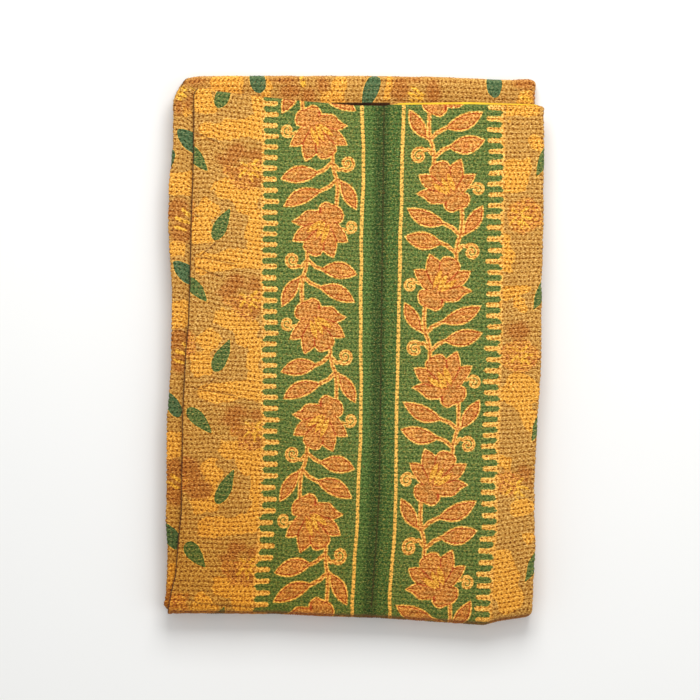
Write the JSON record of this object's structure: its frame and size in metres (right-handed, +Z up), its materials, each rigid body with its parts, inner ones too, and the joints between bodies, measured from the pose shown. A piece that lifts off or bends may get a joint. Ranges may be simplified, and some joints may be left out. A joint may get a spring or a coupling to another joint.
{
  "type": "folded kantha quilt",
  "caption": "Block-printed cotton quilt with rows of running stitch, folded twice across its width and twice along its length into a flat pile.",
  "frame": {"origin": "centre of the bounding box in plan, on the surface that the folded quilt lies on", "axes": "+X across the folded pile to the side where the width turns over all four levels, +Y along it to the end with the two stacked free ends, +Z up"},
  "size_m": [0.3908, 0.5664, 0.0344],
  "materials": {
    "printed_cotton": "matte, washed"
  },
  "bodies": {
    "root": {"quilt": "printed_cotton"}
  },
  "joints": []
}
